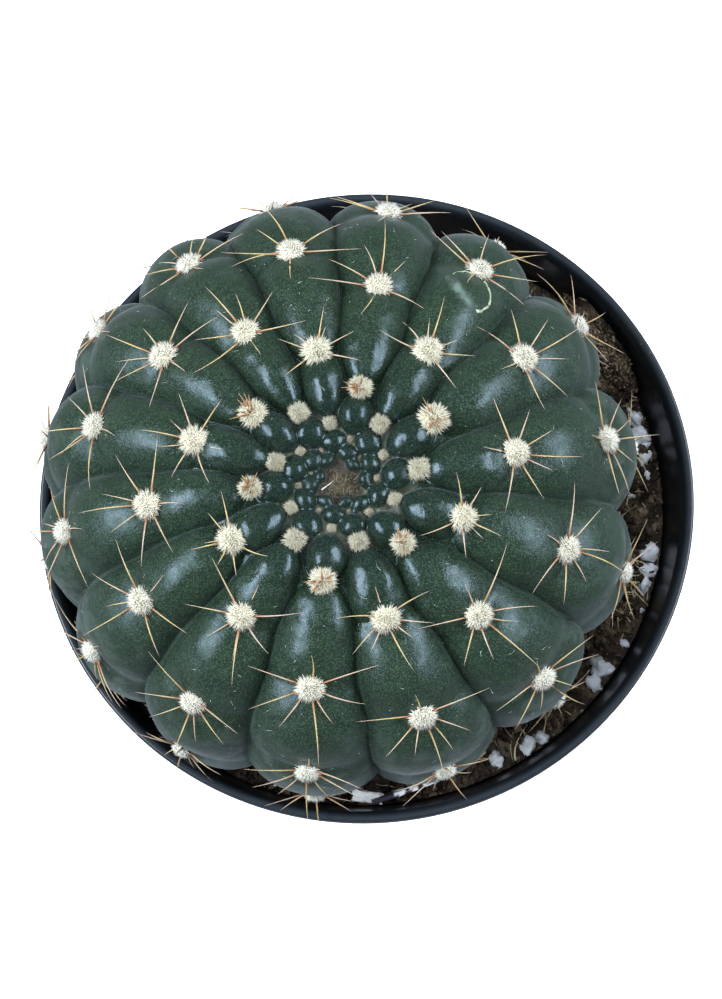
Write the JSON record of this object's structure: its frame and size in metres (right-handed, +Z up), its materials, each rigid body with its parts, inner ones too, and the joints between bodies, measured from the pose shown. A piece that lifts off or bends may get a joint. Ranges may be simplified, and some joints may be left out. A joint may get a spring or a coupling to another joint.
{
  "type": "potted round cactus",
  "caption": "Round ribbed cactus with woolly, spiny areoles, growing in peat and perlite soil in a thin round plastic nursery pot.",
  "frame": {"origin": "middle of the flat underside of the pot", "axes": "+Z up along the pot's axis, out of the pot; +X to the right and +Y to the top of the picture"},
  "size_m": [0.1088, 0.1038, 0.1375],
  "materials": {
    "pot_plastic": "thin black nursery plastic, satin",
    "soil_mix": "dark brown peat with white perlite grains and pale fibres",
    "cactus_skin": "waxy dark green skin with cream wool and golden brown spines",
    "label_plastic": "dark glossy plastic, blank"
  },
  "bodies": {
    "root": {"pot": "pot_plastic", "soil": "soil_mix", "cactus": "cactus_skin", "label": "label_plastic"}
  },
  "joints": []
}
